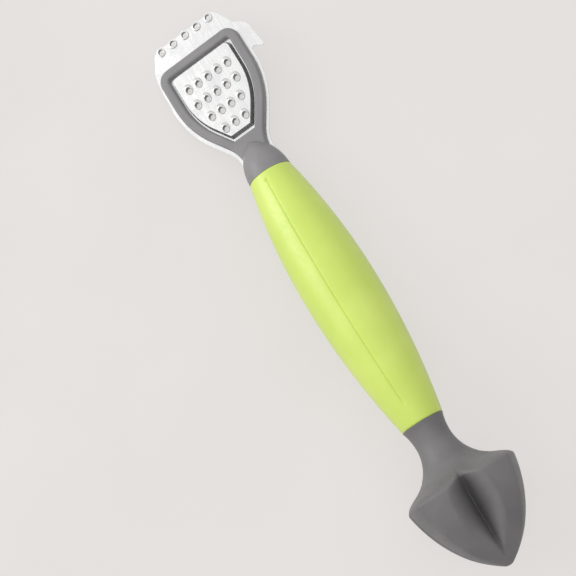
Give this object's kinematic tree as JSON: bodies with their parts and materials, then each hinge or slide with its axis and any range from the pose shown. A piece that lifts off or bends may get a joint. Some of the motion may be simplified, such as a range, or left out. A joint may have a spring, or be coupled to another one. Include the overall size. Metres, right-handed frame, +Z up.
{
  "type": "citrus zester",
  "caption": "Two-ended citrus tool: a steel zesting and grating blade with a channel hook in a moulded frame, a spindle-shaped handle and a fluted reamer.",
  "frame": {"origin": "middle of the tool's outline seen from above, on the surface that it lies on", "axes": "+X along the tool toward the zesting edge, +Y toward the side of the blade without the hook, +Z up"},
  "size_m": [0.2128, 0.0411, 0.0393],
  "materials": {
    "steel": "bright rolled stainless sheet, 0.9 mm, punched and drawn",
    "grey_plastic": "satin moulded nylon, medium warm grey",
    "green_plastic": "soft-touch moulded rubbery plastic, lime green"
  },
  "bodies": {
    "root": {"zester_blade": "steel", "head_frame": "grey_plastic", "handle_grip": "green_plastic", "reamer": "grey_plastic"}
  },
  "joints": []
}
